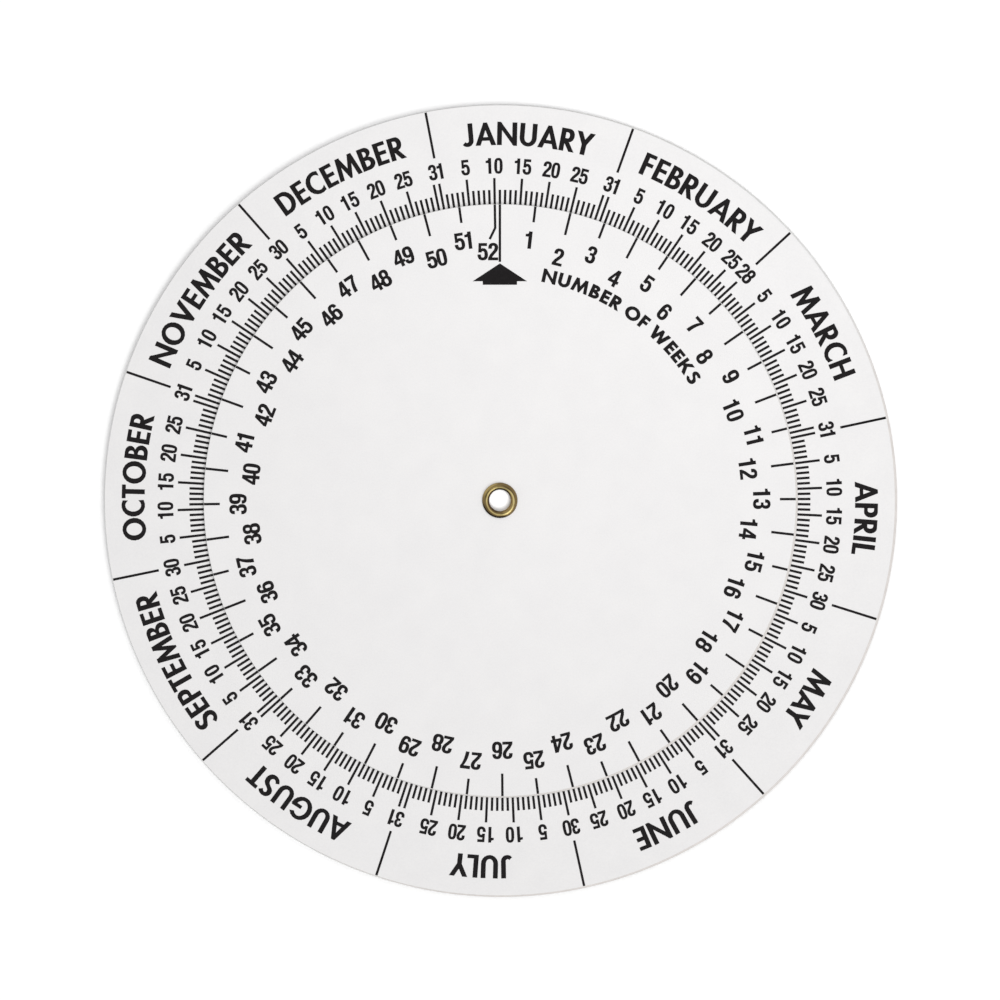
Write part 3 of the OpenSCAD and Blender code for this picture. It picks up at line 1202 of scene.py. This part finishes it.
def build_floor_white():
    """A material that shows as pure white to the camera and keeps the object's shadow."""
    material, nodes, links, shader = new_material("white floor")
    shader.inputs["Base Color"].default_value = (*FLOOR_WHITE, 1)
    shader.inputs["Roughness"].default_value = 0.9
    shader.inputs["Specular IOR Level"].default_value = 0.1
    # The lift grows where the lamps fall off. Under the hole it is painted light, where the barrel
    # keeps light out, with painted shade beside the barrel's wall
    place = nodes.new("ShaderNodeTexCoord").outputs["Object"]
    outwards = distance_node(nodes, links, place, LIFT_AWAY_FROM)
    outwards = range_node(
        nodes, links, outwards, LIFT_STARTS, LIFT_ENDS, NEAR_LIFT, FAR_LIFT, course="LINEAR"
    )
    from_hole = distance_node(nodes, links, place, PAINTED_HOLE_LIGHT_AT)
    painted_hole_light = range_node(nodes, links, from_hole, *HOLE_FLOOR, to_low=PAINTED_HOLE_LIGHT, to_high=0.0)
    from_axis = distance_node(nodes, links, place, ORIGIN)
    painted_wall_shade = range_node(nodes, links, from_axis, *WALL_SHADE, to_low=1.0, to_high=WALL_LIFT_SHARE)
    amount = math_node(nodes, links, "MULTIPLY_ADD", painted_hole_light, painted_wall_shade, outwards)
    seen = seen_directly(nodes, links)
    lift = nodes.new("ShaderNodeEmission")
    links.new(math_node(nodes, links, "MULTIPLY", seen, amount), lift.inputs["Strength"])
    both = nodes.new("ShaderNodeAddShader")
    links.new(shader.outputs["BSDF"], both.inputs[0])
    links.new(lift.outputs["Emission"], both.inputs[1])
    links.new(both.outputs["Shader"], nodes["Material Output"].inputs["Surface"])
    return material


def build_floor():
    """A white floor at the height of the object's lowest point."""
    bm = bmesh.new()
    bmesh.ops.create_grid(bm, x_segments=1, y_segments=1, size=FLOOR_SIZE / 2)
    bmesh.ops.translate(bm, vec=(0, 0, cad_box[0][2]), verts=bm.verts)
    mesh = bpy.data.meshes.new("floor")
    bm.to_mesh(mesh)
    bm.free()
    mesh.materials.append(build_floor_white())
    floor = bpy.data.objects.new("floor", mesh)
    bpy.context.scene.collection.objects.link(floor)
    floor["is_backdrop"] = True


def build_world():
    """A white studio for the camera and for reflections, and a dim one for light."""
    world = bpy.data.worlds.new("studio")
    bpy.context.scene.world = world
    world.use_nodes = True
    nodes, links = world.node_tree.nodes, world.node_tree.links
    background = nodes["Background"]
    background.inputs["Color"].default_value = (1, 1, 1, 1)
    seen = seen_directly(nodes, links)
    strength = math_node(nodes, links, "MULTIPLY_ADD", seen, 1 - AMBIENT, AMBIENT)
    links.new(strength, background.inputs["Strength"])


def add_lamp(name, azimuth, elevation, distance, size, share, shines_in_brass=True):
    """A square lamp aimed at the object's middle.

    share is the part of full white that it alone gives a white face that lies flat.
    """
    turn = math.radians(azimuth)
    lift = math.radians(elevation)
    towards = Vector((
        math.sin(turn) * math.cos(lift), math.cos(turn) * math.cos(lift), math.sin(lift)
    ))
    light = bpy.data.lights.new(name, "AREA")
    light.shape = "SQUARE"
    light.size = size
    light.energy = share * math.pi**2 * distance**2 / math.sin(lift)
    lamp = bpy.data.objects.new(name, light)
    lamp.location = towards * distance
    lamp.rotation_euler = towards.to_track_quat("Z", "Y").to_euler()
    lamp.visible_camera = False
    lamp.visible_glossy = shines_in_brass
    bpy.context.scene.collection.objects.link(lamp)


def add_camera():
    """A long lens straight above the discs, with +Y up in the picture."""
    height = cad_box[1][2] + CAMERA_H
    data = bpy.data.cameras.new("camera")
    data.sensor_width = SENSOR_W
    data.lens = SENSOR_W * CAMERA_H / PICTURE_W
    data.clip_end = 2 * FLOOR_SIZE
    camera = bpy.data.objects.new("camera", data)
    camera.location = (*PICTURE_MIDDLE, height)
    bpy.context.scene.collection.objects.link(camera)
    bpy.context.scene.camera = camera


build_floor()
build_world()
add_lamp("key lamp", azimuth=143, elevation=50, distance=3, size=1.58, share=0.29)
add_lamp(
    "overhead lamp", azimuth=0, elevation=90, distance=1.4, size=0.8, share=0.15,
    shines_in_brass=False,
)
add_lamp(
    "side lamp", azimuth=36, elevation=60, distance=0.12, size=0.06, share=0.132,
    shines_in_brass=False,
)
add_camera()
bpy.context.scene.view_settings.view_transform = "Standard"

[[list(corner) for corner in box] for box in (cad_box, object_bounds())]
